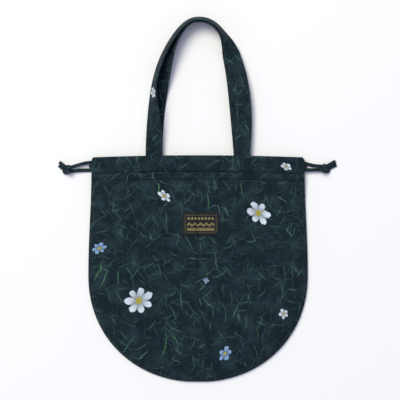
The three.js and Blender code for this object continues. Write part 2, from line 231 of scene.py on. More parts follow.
def colour(name, description, default):
    return bpy.props.FloatVectorProperty(
        name=name, description=description, default=default, min=0.0, max=1.0, size=3, subtype="COLOR")


class PouchColours(bpy.types.PropertyGroup):
    """Colours of the cloth, its print, the thread and the label"""

    ground: colour("Ground", "Dark ground of the print", (0.0066, 0.0150, 0.0215))
    shade: colour("Shaded leaves", "Leaves that sink into the ground", (0.0225, 0.0450, 0.0540))
    leaf: colour("Leaves", "Plain leaves of the print", (0.0520, 0.1080, 0.0980))
    sprig: colour("Sprigs", "Bright sprigs of the print", (0.075, 0.200, 0.090))
    petal: colour("Petals", "Large pale blossoms", (0.68, 0.76, 0.88))
    bell: colour("Small flowers", "Small blue flowers", (0.26, 0.40, 0.66))
    pistil: colour("Flower middles", "Middles of the blossoms", (0.36, 0.33, 0.06))
    thread: colour("Thread", "Sewing thread of the seams", (0.030, 0.048, 0.058))
    patch: colour("Label ground", "Dark weave of the label", (0.0125, 0.0150, 0.0165))
    gold: colour("Label field", "Dull gold weave of the label", (0.29, 0.235, 0.10))
    edging: colour("Label thread", "Thread that holds the label", (0.055, 0.040, 0.028))


# The bag's outline and the levels of its cloth

def smooth(value, low, high):
    share = np.clip((value - low) / (high - low), 0.0, 1.0)
    return share * share * (3 - 2 * share)


def half_width(y):
    down = np.clip((WIDE_Y - y) / BOWL_CURVE, 0.0, 1.0)
    bowl = BODY_WIDTH / 2 * (1 - down ** BOWL_FULLNESS) ** (1 / BOWL_FULLNESS)
    side = (BODY_WIDTH + (MOUTH_WIDTH - BODY_WIDTH) * smooth(y, WIDE_Y, TOP_Y)) / 2
    return np.where(y >= WIDE_Y, side, bowl)


def reach(x, y):
    """0 on the middle line and 1 on the outline."""
    across = np.abs(x) / np.where(y >= WIDE_Y, half_width(y), BODY_WIDTH / 2)
    down = np.maximum(0.0, (WIDE_Y - y) / BOWL_CURVE)
    return np.minimum(1.0, (across ** BOWL_FULLNESS + down ** BOWL_FULLNESS) ** (1 / BOWL_FULLNESS))


def seam_distance(x, y):
    away = np.hypot(x, np.minimum(0.0, y - WIDE_Y))
    share = np.maximum(reach(x, y), 1e-4)
    return np.minimum(away * (1 / share - 1), y - FOOT_Y)


def seam_place(x, y):
    """How far along the seam a point lies, from the foot up each side."""
    turn = np.arctan2(np.abs(x), np.maximum(1e-6, WIDE_Y - y))
    return np.sign(x) * (turn * BOWL_DEPTH + np.maximum(0.0, y - WIDE_Y))


def waves(x, y, length, seed, count=16):
    """Smooth irregular waves of about that length, with a spread of one."""
    rng = np.random.default_rng(seed)
    total = np.zeros(np.broadcast(x, y).shape)
    for _ in range(count):
        turn, phase = rng.uniform(0, 2 * math.pi, 2)
        pace = 2 * math.pi / (length * rng.uniform(0.6, 1.7))
        total += np.sin(pace * (x * math.cos(turn) + y * math.sin(turn)) + phase)
    return total / math.sqrt(count / 2)


def top_edge(x):
    return TOP_Y - TOP_ARCH * (2 * x / MOUTH_WIDTH) ** 2


def casing_base(x):
    """Underside of the front casing: the mouth stands open in the middle."""
    return CASING_HEIGHT + FIT + MOUTH_GAP * (1 - np.abs(2 * x / MOUTH_WIDTH) ** 4)


def edge_roll(away):
    return EDGE_ROLL * np.sqrt(1 - (1 - np.clip(away / EDGE_ROLL, 0.0, 1.0)) ** 2)


def puckers(place, pitch, wander, length, seed):
    """Small folds at about that pitch, which wander in waves of that length."""
    return np.sin(2 * math.pi * place / pitch + wander * waves(place, 0 * place, length, seed))


def front_level(x, y, sizes):
    """Outside of the front panel below its hem."""
    away = seam_distance(x, y)
    pillow = SEAM_LEVEL + SEAM_GAP + edge_roll(away)
    pillow += (PUFF - EDGE_ROLL) * (1 - reach(x, y) ** PUFF_SQUARENESS)
    at_hem = casing_base(x) + CASING_HEIGHT - HEM_STEP - HEM_DIP
    rising = smooth(y, HEM_Y - MOUTH_RUN, HEM_Y)
    level = pillow + (at_hem - pillow) * rising
    under_hem = np.maximum(0.0, HEM_Y - y)
    level += SWELL * smooth(under_hem, 0.0, SWELL_RISE) * (1 - smooth(under_hem, SWELL_RISE, SWELL_END))
    calm = smooth(away, WAVE_START, WAVE_FULL) * (1 - smooth(y, HEM_Y - WAVE_STOP, HEM_Y))
    billow = waves(x, y, BROAD_WAVE, 11) + 0.5 * waves(x, y, FINE_WAVE, 12)
    along = seam_place(x, y)
    beat = puckers(along, SEAM_PITCH, 1.6, 0.05, 13)
    beat *= 0.55 + 0.45 * waves(along, 0 * along, 0.03, 14)
    near_seam = np.exp(-away / SEAM_REACH) * (1 - np.exp(-away / SEAM_START)) * (1 - rising)
    tug = puckers(x, TUG_PITCH, 1.5, 0.06, 15)
    tug *= np.exp(-under_hem / TUG_REACH) * (0.5 + 0.5 * waves(x, 0 * x, 0.04, 16))
    level += sizes.billow * billow * calm
    level += 1.6 * sizes.pucker * beat * near_seam
    return level + 0.6 * sizes.pucker * tug


# Meshes

def bare(thing):
    """Leaves only this object selected and active."""
    bpy.ops.object.select_all(action="DESELECT")
    thing.select_set(True)
    bpy.context.view_layer.objects.active = thing


def mesh_piece(name, points, faces, face_uvs, material):
    mesh = bpy.data.meshes.new(name)
    mesh.from_pydata([tuple(p) for p in points], [], [tuple(f) for f in faces])
    layer = mesh.uv_layers.new(name="Cloth")
    layer.data.foreach_set("uv", np.asarray(face_uvs, dtype=np.float32).ravel())
    mesh.polygons.foreach_set("use_smooth", [True] * len(mesh.polygons))
    mesh.materials.append(material)
    piece = bpy.data.objects.new(name, mesh)
    bpy.context.scene.collection.objects.link(piece)
    return piece


def grid_piece(name, points, uvs, material, turned=False):
    """A sheet through a grid of points, with one UV point for each."""
    rows, columns = points.shape[:2]
    at = np.arange(rows * columns).reshape(rows, columns)
    faces = np.stack([at[:-1, :-1], at[:-1, 1:], at[1:, 1:], at[1:, :-1]], axis=-1).reshape(-1, 4)
    if turned:
        faces = faces[:, ::-1]
    return mesh_piece(name, points.reshape(-1, 3), faces, uvs.reshape(-1, 2)[faces.ravel()], material)


def swept_piece(name, rings, girth, along, material, offset=(0.0, 0.0)):
    """A closed tube through rings of equal point count, capped at both ends."""
    count, sides = rings.shape[:2]
    at = np.arange(count * sides).reshape(count, sides)
    faces, uvs = [], []
    for j in range(count - 1):
        for k in range(sides):
            n = (k + 1) % sides
            faces.append((at[j, k], at[j, n], at[j + 1, n], at[j + 1, k]))
            u, v = girth[k] + offset[0], girth[k + 1] + offset[0]
            a, b = along[j] + offset[1], along[j + 1] + offset[1]
            uvs.extend(((u, a), (v, a), (v, b), (u, b)))
    for ring, turn in ((at[0], -1), (at[-1], 1)):
        faces.append(tuple(ring[::turn]))
        uvs.extend([(girth[0] + offset[0], along[0] + offset[1])] * sides)
    return mesh_piece(name, rings.reshape(-1, 3), faces, uvs, material)


def thicken(piece, thickness):
    bare(piece)
    solid = piece.modifiers.new("Thickness", "SOLIDIFY")
    solid.thickness = thickness
    solid.offset = -1
    bpy.ops.object.modifier_apply(modifier=solid.name)


def join(name, pieces):
    bpy.ops.object.select_all(action="DESELECT")
    for piece in pieces:
        piece.select_set(True)
    bpy.context.view_layer.objects.active = pieces[0]
    bpy.ops.object.join()
    pieces[0].name = name
    return pieces[0]


def discard(thing):
    """Removes a helper object with its mesh."""
    mesh = thing.data
    bpy.data.objects.remove(thing)
    bpy.data.meshes.remove(mesh)


def finish_piece(piece, slot, *nodes):
    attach(piece, "root")
    if nodes:
        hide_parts(*nodes)


# Lines and sections

def run_along(points):
    """How far along a line each of its points lies."""
    return np.concatenate([[0.0], np.cumsum(np.linalg.norm(np.diff(points, axis=0), axis=1))])


def ways_along(line):
    """Which way a line goes at each of its points."""
    ways = np.gradient(line, axis=0)
    return ways / np.linalg.norm(ways, axis=1, keepdims=True)


def girth_of(across, up):
    """How far round a section each of its points lies, and the first one again."""
    return run_along(np.stack([np.append(across, across[0]), np.append(up, up[0])], axis=-1))


def rings_along(line, wide, thick, section):
    """A section stood up at each point of a line."""
    across, up = section
    return line[:, None] + wide[:, None] * across[None, :, None] + thick[:, None] * up[None, :, None]


# Materials

class Wires:
    """Adds nodes to a material and joins them."""

    def __init__(self, material):
        material.use_nodes = True
        self.tree = material.node_tree
        self.shader = self.tree.nodes["Principled BSDF"]

    def put(self, socket, value):
        if isinstance(value, bpy.types.NodeSocket):
            self.tree.links.new(value, socket)
        elif value is not None:
            socket.default_value = value

    def node(self, kind, *values, **settings):
        made = self.tree.nodes.new(kind)
        for name, value in settings.items():
            setattr(made, name, value)
        for socket, value in zip(made.inputs, values):
            self.put(socket, value)
        return made

    def math(self, operation, *values):
        return self.node("ShaderNodeMath", *values, operation=operation).outputs[0]

    def blend(self, share, under, over):
        made = self.node("ShaderNodeMix", data_type="RGBA")
        self.put(made.inputs["Factor"], share)
        self.put(made.inputs[6], under)
        self.put(made.inputs[7], over)
        return made.outputs[2]

    def step(self, value, low, high):
        made = self.node("ShaderNodeMapRange", value, low, high, interpolation_type="SMOOTHSTEP")
        return made.outputs[0]

    def product(self, first, *others):
        for other in others:
            first = self.math("MULTIPLY", first, other)
        return first

    def scaled(self, value, by, plus):
        return self.math("ADD", self.math("MULTIPLY", value, by), plus)

    def vector(self, operation, *values):
        return self.node("ShaderNodeVectorMath", *values, operation=operation).outputs[0]

    def turned(self, place, angle):
        made = self.node("ShaderNodeVectorRotate", rotation_type="Z_AXIS")
        self.put(made.inputs["Vector"], place)
        self.put(made.inputs["Angle"], angle)
        return made.outputs[0]

    def split(self, place):
        return self.node("ShaderNodeSeparateXYZ", place).outputs

    def cloth_place(self, shift=(0.0, 0.0, 0.0)):
        return self.vector("ADD", self.node("ShaderNodeUVMap", uv_map="Cloth").outputs[0], shift)

    def noise(self, place, size, detail=2.0, output=0):
        made = self.node("ShaderNodeTexNoise")
        self.put(made.inputs["Vector"], place)
        self.put(made.inputs["Scale"], 1 / size)
        self.put(made.inputs["Detail"], detail)
        return made.outputs[output]

    def nearest(self, place, spacing, jitter):
        """The nearest of the places strewn over the cloth, and its three chances."""
        cells = self.node("ShaderNodeTexVoronoi", voronoi_dimensions="2D")
        self.put(cells.inputs["Vector"], place)
        self.put(cells.inputs["Scale"], 1 / spacing)
        self.put(cells.inputs["Randomness"], jitter)
        return cells.outputs["Position"], self.node("ShaderNodeSeparateColor", cells.outputs["Color"]).outputs

    def scatter(self, place, spacing, jitter, shift):
        """The way from the nearest place strewn over the cloth, turned at random, and its three chances."""
        moved = self.vector("ADD", place, shift)
        middle, chances = self.nearest(moved, spacing, jitter)
        turn = self.math("MULTIPLY", chances[0], 2 * math.pi)
        x, y, _ = self.split(self.turned(self.vector("SUBTRACT", moved, middle), turn))
        return x, y, chances

    def blades(self, place, lie, spacing, length, width, soft, shift):
        """Grass blades that lie about one way: the share of blade, and three chances for each."""
        cell = (spacing, 2.2 * length, 1.0)
        shrunk = self.vector("DIVIDE", self.turned(self.vector("ADD", place, shift), lie), cell)
        middle, chances = self.nearest(shrunk, 1.0, 0.9)
        away = self.vector("MULTIPLY", self.vector("SUBTRACT", shrunk, middle), cell)
        x, y, _ = self.split(self.turned(away, self.math("SUBTRACT", chances[0], 0.5)))
        share = self.math("DIVIDE", y, length)
        square = self.math("MULTIPLY", share, share)
        bow = self.product(self.math("SUBTRACT", chances[1], 0.5), square, 0.6 * length)
        room = self.math("MULTIPLY", self.math("SUBTRACT", 1.0, square), width)
        side = self.math("ABSOLUTE", self.math("ADD", x, bow))
        return self.step(self.math("SUBTRACT", room, side), 0.0, soft), chances

    def leaf(self, x, y, length, width, soft):
        """A pointed leaf along x."""
        along = self.math("POWER", self.math("ABSOLUTE", self.math("DIVIDE", x, length)), 2.0)
        room = self.math("MULTIPLY", self.math("SUBTRACT", 1.0, along), width)
        return self.step(self.math("SUBTRACT", room, self.math("ABSOLUTE", y)), 0.0, soft)

    def blossom(self, place, middle, radius, turn, squash, petals):
        """Petals round a middle: the shares of petal, of middle and of light on the petals."""
        x, y, _ = self.split(self.turned(self.vector("SUBTRACT", place, (*middle, 0.0)), turn))
        y = self.math("DIVIDE", y, squash)
        away = self.math("SQRT", self.math("ADD", self.math("MULTIPLY", x, x), self.math("MULTIPLY", y, y)))
        share = self.math("DIVIDE", away, radius)
        around = self.math("ARCTAN2", y, x)
        lobe = self.math("ABSOLUTE", self.math("COSINE", self.math("MULTIPLY", around, petals / 2)))
        uneven = self.scaled(self.math("SINE", self.math("MULTIPLY", around, 2.0)), 0.08, 0.92)
        edge = self.math("MULTIPLY", self.scaled(self.math("POWER", lobe, 0.5), 0.68, 0.32), uneven)
        petal = self.step(self.math("SUBTRACT", edge, share), 0.0, 0.06)
        heart = self.step(share, 0.26, 0.18)
        veins = self.scaled(self.math("SINE", self.math("MULTIPLY", around, petals * 5.0)), 0.12, 0.88)
        light = self.product(self.math("POWER", lobe, 0.35), self.step(share, 0.0, 0.75), veins)
        return petal, heart, light

    def weave(self, place, thread):
        """Height of a plain weave: threads that pass over and under each other."""
        x, y, _ = self.split(place)
        pace = math.pi / thread
        across = self.math("SINE", self.math("MULTIPLY", x, pace))
        down = self.math("SINE", self.math("MULTIPLY", y, pace))
        return self.math("MULTIPLY", across, down)

    def bump(self, height, strength, distance):
        made = self.node("ShaderNodeBump")
        self.put(made.inputs["Strength"], strength)
        self.put(made.inputs["Distance"], distance)
        self.put(made.inputs["Height"], height)
        self.put(self.shader.inputs["Normal"], made.outputs[0])

    def finish(self, tint, roughness, specular, sheen):
        self.put(self.shader.inputs["Base Color"], tint)
        self.put(self.shader.inputs["Roughness"], roughness)
        self.put(self.shader.inputs["Specular IOR Level"], specular)
        self.put(self.shader.inputs["Sheen Weight"], sheen)
        self.put(self.shader.inputs["Sheen Roughness"], 0.5)


def rgba(tint, share=1.0):
    """A colour with its alpha, darker or lighter by a share."""
    return (*(share * c for c in tint), 1.0)


def blossom_places(colours):
    """Blossoms of the print: middle on the cut cloth, radius, turn, foreshortening, petals and colour."""
    pale, blue = colours.petal, colours.bell
    return (
        ((-0.087, 0.128), 0.0225, 0.4, 1.0, 7, pale),
        ((0.090, 0.258), 0.0215, 1.1, 0.8, 6, pale),
        ((0.040, 0.050), 0.0135, 2.3, 0.7, 5, blue),
        ((-0.050, 0.283), 0.0125, 0.9, 0.6, 5, pale),
        ((0.126, 0.108), 0.0085, 1.7, 0.9, 5, pale),
        ((-0.146, 0.205), 0.0125, 2.9, 0.75, 6, blue),
        ((0.012, 0.158), 0.0048, 0.2, 0.9, 4, blue),
        ((0.132, 0.331), 0.0100, 0.5, 0.6, 5, pale),
        ((0.430, 0.230), 0.0220, 0.9, 0.9, 7, pale),
        ((0.590, 0.120), 0.0205, 2.0, 0.8, 6, pale),
        ((1.140, 0.118), 0.0110, 0.7, 0.8, 6, pale),
    )


def grass_rows(colours):
    """Grass of the print, lowest first: lie, spacing, length, width, soft edge, shift and two tones, then
    the size of the patches it grows in and how rare they are."""
    ground, shade, leaf, sprig = colours.ground, colours.shade, colours.leaf, colours.sprig
    return (
        (0.5, 0.0060, 0.0120, 0.0013, 0.0011, (0.31, 0.17, 0.0), ground, shade, 0.05, 0.0),
        (-0.7, 0.0066, 0.0140, 0.0012, 0.0011, (0.53, 0.71, 0.0), ground, shade, 0.05, 0.0),
        (1.5, 0.0070, 0.0110, 0.0014, 0.0011, (0.21, 0.37, 0.0), ground, shade, 0.05, 0.0),
        (-0.2, 0.0105, 0.0160, 0.0012, 0.0010, (0.91, 0.13, 0.0), shade, leaf, 0.04, 0.40),
        (0.9, 0.0125, 0.0145, 0.0012, 0.0010, (0.47, 0.83, 0.0), shade, leaf, 0.05, 0.42),
        (1.9, 0.0135, 0.0120, 0.0011, 0.0009, (0.13, 0.59, 0.0), shade, leaf, 0.045, 0.42),
        (0.2, 0.0110, 0.0210, 0.0011, 0.0007, (0.37, 0.29, 0.0), leaf, sprig, 0.06, 0.57),
        (-0.6, 0.0120, 0.0180, 0.0012, 0.0007, (0.83, 0.41, 0.0), leaf, sprig, 0.055, 0.58),
    )


def leaf_rows(colours):
    """Single leaves of the print: spacing, jitter, shift, length, width and tone."""
    return (
        (0.027, 0.8, (0.11, 0.43, 0.0), 0.0075, 0.0017, colours.shade),
        (0.043, 0.8, (0.61, 0.23, 0.0), 0.0085, 0.0014, colours.leaf),
    )


def overgrown(wires, tint, place, drawn, colours):
    """The ground of the print with its grass and single leaves."""
    for lie, spacing, length, width, soft, way, faint, strong, patch, rarity in grass_rows(colours):
        mask, chances = wires.blades(drawn, lie, spacing, length, width, soft, way)
        here = wires.step(wires.noise(wires.vector("ADD", place, way), patch), rarity - 0.03, rarity + 0.06)
        mask = wires.product(mask, here, wires.step(chances[2], 0.2, 0.9))
        tint = wires.blend(mask, tint, wires.blend(chances[1], rgba(faint), rgba(strong)))
    for spacing, jitter, way, length, width, tone in leaf_rows(colours):
        x, y, chances = wires.scatter(drawn, spacing, jitter, way)
        bent = wires.math("ADD", y, wires.product(x, x, 22.0))
        mask = wires.leaf(x, bent, length, width, 0.0009)
        tint = wires.blend(wires.product(mask, wires.step(chances[1], 0.12, 0.95)), tint, rgba(tone))
    return tint


def in_bloom(wires, tint, drawn, blossoms, pistil):
    """The print with its blossoms laid on."""
    for middle, radius, turn, squash, petals, tone in blossoms:
        petal, heart, light = wires.blossom(drawn, middle, radius, turn, squash, petals)
        tint = wires.blend(petal, tint, wires.blend(light, rgba(tone, 0.3), rgba(tone)))
        tint = wires.blend(heart, tint, rgba(pistil))
    return tint


def printed_cotton(name, shift, blossoms=()):
    """Plain-weave cotton with a dark print of leaves and grass, and blossoms where they are given."""
    colours = bpy.context.scene.pouch_colours
    material = bpy.data.materials.new(name)
    wires = Wires(material)
    place = wires.cloth_place((*shift, 0.0))
    wobble = wires.vector("SUBTRACT", wires.noise(place, 0.007, 3.0, "Color"), (0.5, 0.5, 0.5))
    drawn = wires.vector("ADD", place, wires.vector("MULTIPLY", wobble, (0.0042, 0.0042, 0.0)))
    cloudy = wires.step(wires.noise(place, 0.022, 5.0), 0.38, 0.85)
    tint = wires.blend(cloudy, rgba(colours.ground), rgba(colours.shade))
    tint = overgrown(wires, tint, place, drawn, colours)
    tint = in_bloom(wires, tint, drawn, blossoms, colours.pistil)
    slub = wires.noise(place, 0.0022)
    threads = [wires.noise(wires.vector("MULTIPLY", place, stretch), 0.014)
               for stretch in ((1.0, 9.0, 1.0), (9.0, 1.0, 1.0))]
    uneven = wires.math("ADD", wires.math("ADD", *threads), slub)
    worn = wires.node("ShaderNodeHueSaturation")
    wires.put(worn.inputs["Color"], tint)
    wires.put(worn.inputs["Value"], wires.scaled(uneven, 0.55, 0.18))
    weave = wires.math("MULTIPLY", wires.weave(place, 0.0005), 0.5)
    wires.bump(wires.math("ADD", weave, wires.math("MULTIPLY", slub, 1.2)), 0.35, 0.0003)
    wires.finish(worn.outputs[0], 0.88, 0.10, 0.03)
    return material


def thread_material(name, tint):
    """Twisted sewing thread."""
    material = bpy.data.materials.new(name)
    wires = Wires(material)
    place = wires.node("ShaderNodeTexCoord").outputs["Object"]
    shade = wires.blend(wires.noise(place, 0.0012), rgba(tint, 0.6), rgba(tint, 1.3))
    wires.bump(wires.noise(place, 0.0004, 1.0), 0.4, 0.0001)
    wires.finish(shade, 0.7, 0.2, 0.1)
    return material


def label_weave(name, tint, gold):
    """Dense dark weave with a gold frame and rows of lozenges, waves and bars woven in."""
    material = bpy.data.materials.new(name)
    wires = Wires(material)
    place = wires.cloth_place()
    x, y, _ = wires.split(place)
    wide, high = wires.math("ABSOLUTE", x), wires.math("ABSOLUTE", y)

    def apart(value, middle):
        return wires.math("ABSOLUTE", wires.math("SUBTRACT", value, middle))

    def band(value, middle, half):
        return wires.step(apart(value, middle), half + 0.0001, half - 0.0001)

    def fret(pitch):
        return apart(wires.math("FRACT", wires.math("DIVIDE", x, pitch)), 0.5)

    box = wires.math("MAXIMUM", wires.math("SUBTRACT", wide, 0.0232), wires.math("SUBTRACT", high, 0.0128))
    ornament = wires.math("MULTIPLY", band(box, 0.0, 0.0003), 0.45)
    inside = wires.step(wide, 0.0204, 0.0202)
    slope = wires.math("DIVIDE", apart(y, 0.0078), 0.0026)
    lozenge = wires.math("ADD", slope, wires.math("MULTIPLY", fret(0.0051), 2.4))
    wave = wires.math("SUBTRACT", y, wires.math("MULTIPLY", fret(0.0085), 0.0075))
    rows = (wires.step(lozenge, 1.0, 0.9), band(wave, -0.0040, 0.0006), band(wave, -0.0022, 0.0006),
            band(y, -0.0068, 0.0005), band(y, -0.0092, 0.0009))
    for row in rows:
        ornament = wires.math("MAXIMUM", ornament, wires.math("MULTIPLY", row, inside))
    slant = wires.math("SINE", wires.math("MULTIPLY", wires.math("ADD", x, y), math.pi / 0.0005))
    satin = wires.math("SINE", wires.math("MULTIPLY", x, math.pi / 0.0004))
    mottle = wires.noise(place, 0.0011, 3.0)
    dark = wires.blend(mottle, rgba(tint, 0.62), rgba(tint, 1.35))
    bright = wires.blend(mottle, rgba(gold, 0.7), rgba(gold, 1.3))
    height = wires.math("ADD", wires.math("MULTIPLY", ornament, wires.math("ADD", satin, 2.0)), slant)
    wires.bump(height, 0.4, 0.0002)
    wires.finish(wires.blend(ornament, dark, bright), 0.75, 0.2, 0.03)
    return material


def made_once(name, maker, *values):
    return bpy.data.materials.get(name) or maker(name, *values)


def cloth_material():
    blossoms = blossom_places(bpy.context.scene.pouch_colours)
    return made_once("printed cotton", printed_cotton, (0.0, 0.0), blossoms)


def seam_thread():
    return made_once("seam thread", thread_material, bpy.context.scene.pouch_colours.thread)


# Stitching

def one_stitch(sizes):
    """One stitch along X: a short round of thread with rounded ends."""
    bpy.ops.object.select_all(action="DESELECT")
    bpy.ops.mesh.primitive_uv_sphere_add(segments=6, ring_count=4, radius=0.5, rotation=(0, math.pi / 2, 0))
    stitch = bpy.context.object
    bpy.ops.object.transform_apply(rotation=True)
    stitch.scale = (sizes.stitch_length, sizes.thread, sizes.thread)
    bpy.ops.object.transform_apply(scale=True)
    points = np.array([v.co for v in stitch.data.vertices])
    faces = [tuple(p.vertices) for p in stitch.data.polygons]
    discard(stitch)
    return points, faces


def sewn(name, lines, material, sizes):
    """Stitches along lines of (point, outward) pairs, as one piece."""
    shape, shape_faces = one_stitch(sizes)
    points, faces = [], []
    for line in lines:
        spots = np.array([p for p, _ in line])
        outs = np.array([o for _, o in line])
        along = run_along(spots)
        total = max(1, int(along[-1] / sizes.stitch_pitch))
        middles = (np.arange(total) + 0.5) * along[-1] / total
        for middle in middles:
            ends = [np.array([np.interp(middle + d, along, spots[:, i]) for i in range(3)])
                    for d in (-sizes.stitch_length / 2, 0.0, sizes.stitch_length / 2)]
            out = np.array([np.interp(middle, along, outs[:, i]) for i in range(3)])
            way = ends[2] - ends[0]
            way /= np.linalg.norm(way)
            side = np.cross(out, way)
            side /= np.linalg.norm(side)
            up = np.cross(way, side)
            placed = ends[1] + shape @ np.array([way, side, up]) + up * sizes.thread * 0.15
            start = len(points)
            points.extend(placed)
            faces.extend(tuple(start + i for i in f) for f in shape_faces)
    corners = sum(len(f) for f in faces)
    return mesh_piece(name, points, faces, np.zeros((corners, 2)), material)


def surface_of(piece):
    bpy.context.view_layer.update()
    return BVHTree.FromObject(piece, bpy.context.evaluated_depsgraph_get())


def line_on(surface, spots, from_above=True):
    """(point, outward) pairs where plumb lines at these spots meet a surface."""
    start, way = (0.2, -1.0) if from_above else (-0.2, 1.0)
    line = []
    for x, y in spots:
        place, out, _, _ = surface.ray_cast(Vector((x, y, start)), Vector((0.0, 0.0, way)))
        if place is not None:
            line.append((np.array(place), np.array(out)))
    return line


# Operators, one for each kind of piece

def lit_room(scene):
    """Pale light from all round, which the camera sees as white."""
    scene.world = scene.world or bpy.data.worlds.new("room")
    scene.world.use_nodes = True
    tree = scene.world.node_tree
    tree.nodes.clear()
    out = tree.nodes.new("ShaderNodeOutputWorld")
    room = tree.nodes.new("ShaderNodeBackground")
    room.inputs["Color"].default_value = rgba(ROOM_TINT)
    room.inputs["Strength"].default_value = ROOM_STRENGTH
    white = tree.nodes.new("ShaderNodeBackground")
    white.inputs["Color"].default_value = (1.0, 1.0, 1.0, 1.0)
    seen = tree.nodes.new("ShaderNodeLightPath")
    pick = tree.nodes.new("ShaderNodeMixShader")
    tree.links.new(seen.outputs["Is Camera Ray"], pick.inputs["Fac"])
    tree.links.new(room.outputs[0], pick.inputs[1])
    tree.links.new(white.outputs[0], pick.inputs[2])
    tree.links.new(pick.outputs[0], out.inputs["Surface"])


class POUCH_OT_stage(bpy.types.Operator):
    """Lay a pale floor, hang two soft lights at the upper left and set the camera straight above"""

    bl_idname = "pouch.stage"
    bl_label = "Stage"

    def execute(self, context):
        scene = context.scene
        bpy.ops.object.select_all(action="DESELECT")
        bpy.ops.mesh.primitive_plane_add(size=FLOOR_SIZE, location=(0.0, 0.0, -FLOOR_DROP))
        floor = context.object
        floor.name = "floor"
        pale = bpy.data.materials.new("pale floor")
        Wires(pale).finish(rgba(FLOOR_TINT), 1.0, 0.0, 0.0)
        floor.data.materials.append(pale)
        for name, place, size, power, tint in (
            ("window light", (-2.36, 2.95, 5.29), 3.6, 254.0, (1.0, 0.965, 0.76)),
            ("wall light", (-2.20, 2.60, 7.23), 7.0, 192.0, (1.0, 1.0, 0.855)),
        ):
            way = Vector(place).to_track_quat("Z", "Y").to_euler()
            bpy.ops.object.light_add(type="AREA", location=place, rotation=way)
            light = context.object
            light.name = name
            light.data.shape = "DISK"
            light.data.size = size
            light.data.energy = power
            light.data.color = tint
        lit_room(scene)
        bpy.ops.object.camera_add(location=CAMERA_PLACE, rotation=(0.0, 0.0, 0.0))
        camera = context.object
        camera.name = "camera"
        camera.data.sensor_width = CAMERA_SENSOR
        camera.data.lens = CAMERA_LENS
        camera.data.clip_end = CAMERA_REACH
        scene.camera = camera
        scene.view_settings.view_transform = "Standard"
        return {"FINISHED"}


# The far fold of a cord: outwards from the mouth's end, and in height
CORD_FOLD = ((0.00126, 0.00624), (0.0035, 0.00435), (0.00126, 0.00246))
# Each cord outside its casing: outwards from the mouth's end, up from the top edge, and in height.
# In the casings it runs from depth to depth below the top edge.
LEFT_CORD = {
    "side": -1, "front_depth": 0.0108, "back_depth": 0.0218,
    "front": ((0.0345, -0.0190, 0.0058), (0.031, -0.0179, 0.0060), (0.0225, -0.0152, 0.0057),
              (0.0125, -0.0123, 0.0056), (0.0045, -0.0110, 0.0061)),
    "back": ((0.0065, -0.0220, 0.0021), (0.0185, -0.0225, 0.0027), (0.031, -0.0234, 0.0036),
             (0.0345, -0.0230, 0.0042)),
    "knot": (0.0372, -0.0205, 0.0052),
    "tails": (((0.0385, -0.0185, 0.0056), (0.0425, -0.0151, 0.0052), (0.0489, -0.0101, 0.0024)),
              ((0.0395, -0.0215, 0.0042), (0.0445, -0.0189, 0.0026), (0.0497, -0.0149, 0.0014))),
}
RIGHT_CORD = {
    "side": 1, "front_depth": 0.0218, "back_depth": 0.0108,
    "front": ((0.0292, -0.0209, 0.0054), (0.0255, -0.0217, 0.0056), (0.0175, -0.0217, 0.0053),
              (0.0105, -0.0218, 0.0054), (0.0041, -0.0218, 0.0061)),
    "back": ((0.0055, -0.0132, 0.0021), (0.0155, -0.0154, 0.0025), (0.0255, -0.0163, 0.0034),
             (0.0292, -0.0168, 0.0042)),
    "knot": (0.032, -0.0189, 0.0052),
    "tails": (((0.0335, -0.0169, 0.0056), (0.0395, -0.0131, 0.0046), (0.0471, -0.0089, 0.0022)),
              ((0.0345, -0.0199, 0.0042), (0.0405, -0.0175, 0.0026), (0.0485, -0.0141, 0.0014))),
}


def standing(cord, spot):
    out, up, height = spot
    return (cord["side"] * (MOUTH_WIDTH / 2 + out), TOP_Y + up, height)


def cord_route(cord):
    """Points from the knot into the front casing, round the far end and back through the back casing."""
    end = MOUTH_WIDTH / 2
    across = np.cos(np.linspace(0, math.pi, 11))
    share = (1 - across) / 2
    x = cord["side"] * (end - CORD_ENTRY) * across
    middle = CASING_HEIGHT / 2
    there = TOP_Y - (cord["front_depth"] + (CORD_FOLD_DEPTH - cord["front_depth"]) * share)
    back = TOP_Y - (CORD_FOLD_DEPTH + (cord["back_depth"] - CORD_FOLD_DEPTH) * share)
    fold = [(-cord["side"] * (end + out), TOP_Y - CORD_FOLD_DEPTH, height) for out, height in CORD_FOLD]
    return np.concatenate([
        [standing(cord, s) for s in cord["front"]],
        np.stack([x, there, casing_base(x) + middle], axis=-1),
        fold,
        np.stack([-x, back, np.full(len(x), middle)], axis=-1),
        [standing(cord, s) for s in cord["back"]],
    ])


def evened(points, step):
    """A smooth line through the points, at even steps."""
    points = np.asarray(points, dtype=float)
    ghost = np.concatenate([[2 * points[0] - points[1]], points, [2 * points[-1] - points[-2]]])
    line = []
    shares = np.linspace(0, 1, 24, endpoint=False)[:, None]
    for a, b, c, d in zip(ghost, ghost[1:], ghost[2:], ghost[3:]):
        line.append(0.5 * (2 * b + (c - a) * shares + (2 * a - 5 * b + 4 * c - d) * shares ** 2
                           + (3 * b - a - 3 * c + d) * shares ** 3))
    line = np.concatenate([*line, [points[-1]]])
    along = run_along(line)
    spots = np.linspace(0, along[-1], max(4, int(along[-1] / step)) + 1)
    return np.stack([np.interp(spots, along, line[:, i]) for i in range(3)], axis=-1), spots


def tape_section(width, thickness):
    """A flat folded tape: soft round edges, and a shallow crease where the fold was sewn."""
    turn = np.linspace(0, 2 * math.pi, 20, endpoint=False)
    wide = np.sign(np.cos(turn)) * np.abs(np.cos(turn)) ** 0.55 * width / 2
    thick = np.sign(np.sin(turn)) * np.abs(np.sin(turn)) ** 0.7 * thickness / 2
    crease = 1 - 0.3 * np.exp(-((wide / width - 0.22) / 0.07) ** 2)
    return wide, thick * crease


